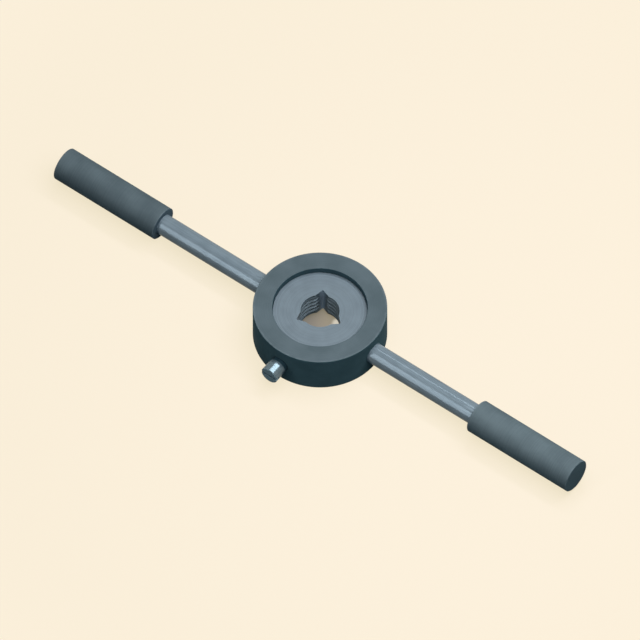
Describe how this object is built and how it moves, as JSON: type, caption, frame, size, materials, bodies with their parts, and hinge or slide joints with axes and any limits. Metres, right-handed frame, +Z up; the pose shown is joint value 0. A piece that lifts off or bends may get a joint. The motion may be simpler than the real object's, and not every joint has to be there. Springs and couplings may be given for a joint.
{
  "type": "die stock handle",
  "caption": "Die stock: a stepped ring seats a round fluted threading die locked by a radial screw, with straight rod handles that end in plain round grips.",
  "frame": {"origin": "on the die's axis, in the plane of the holder's resting face", "axes": "+X along the right rod, +Z up along the die's axis towards the open side of the seat, and the lock screw on the -Y side"},
  "size_m": [0.171, 0.0408, 0.0118],
  "materials": {
    "blackened_steel": "satin",
    "die_steel": "satin",
    "rod_steel": "satin",
    "grip_finish": "satin",
    "screw_steel": "polished"
  },
  "bodies": {
    "stock": {"die_holder": "blackened_steel", "die": "die_steel", "right_rod": "rod_steel", "left_rod": "rod_steel", "right_grip": "grip_finish", "left_grip": "grip_finish"},
    "screw": {"lock_screw": "screw_steel"}
  },
  "joints": [
    {"name": "lock_screw_travel", "type": "slide", "parent": "stock", "child": "screw", "axis": [0, -1, 0], "range_m": [0, 0.0024]}
  ]
}
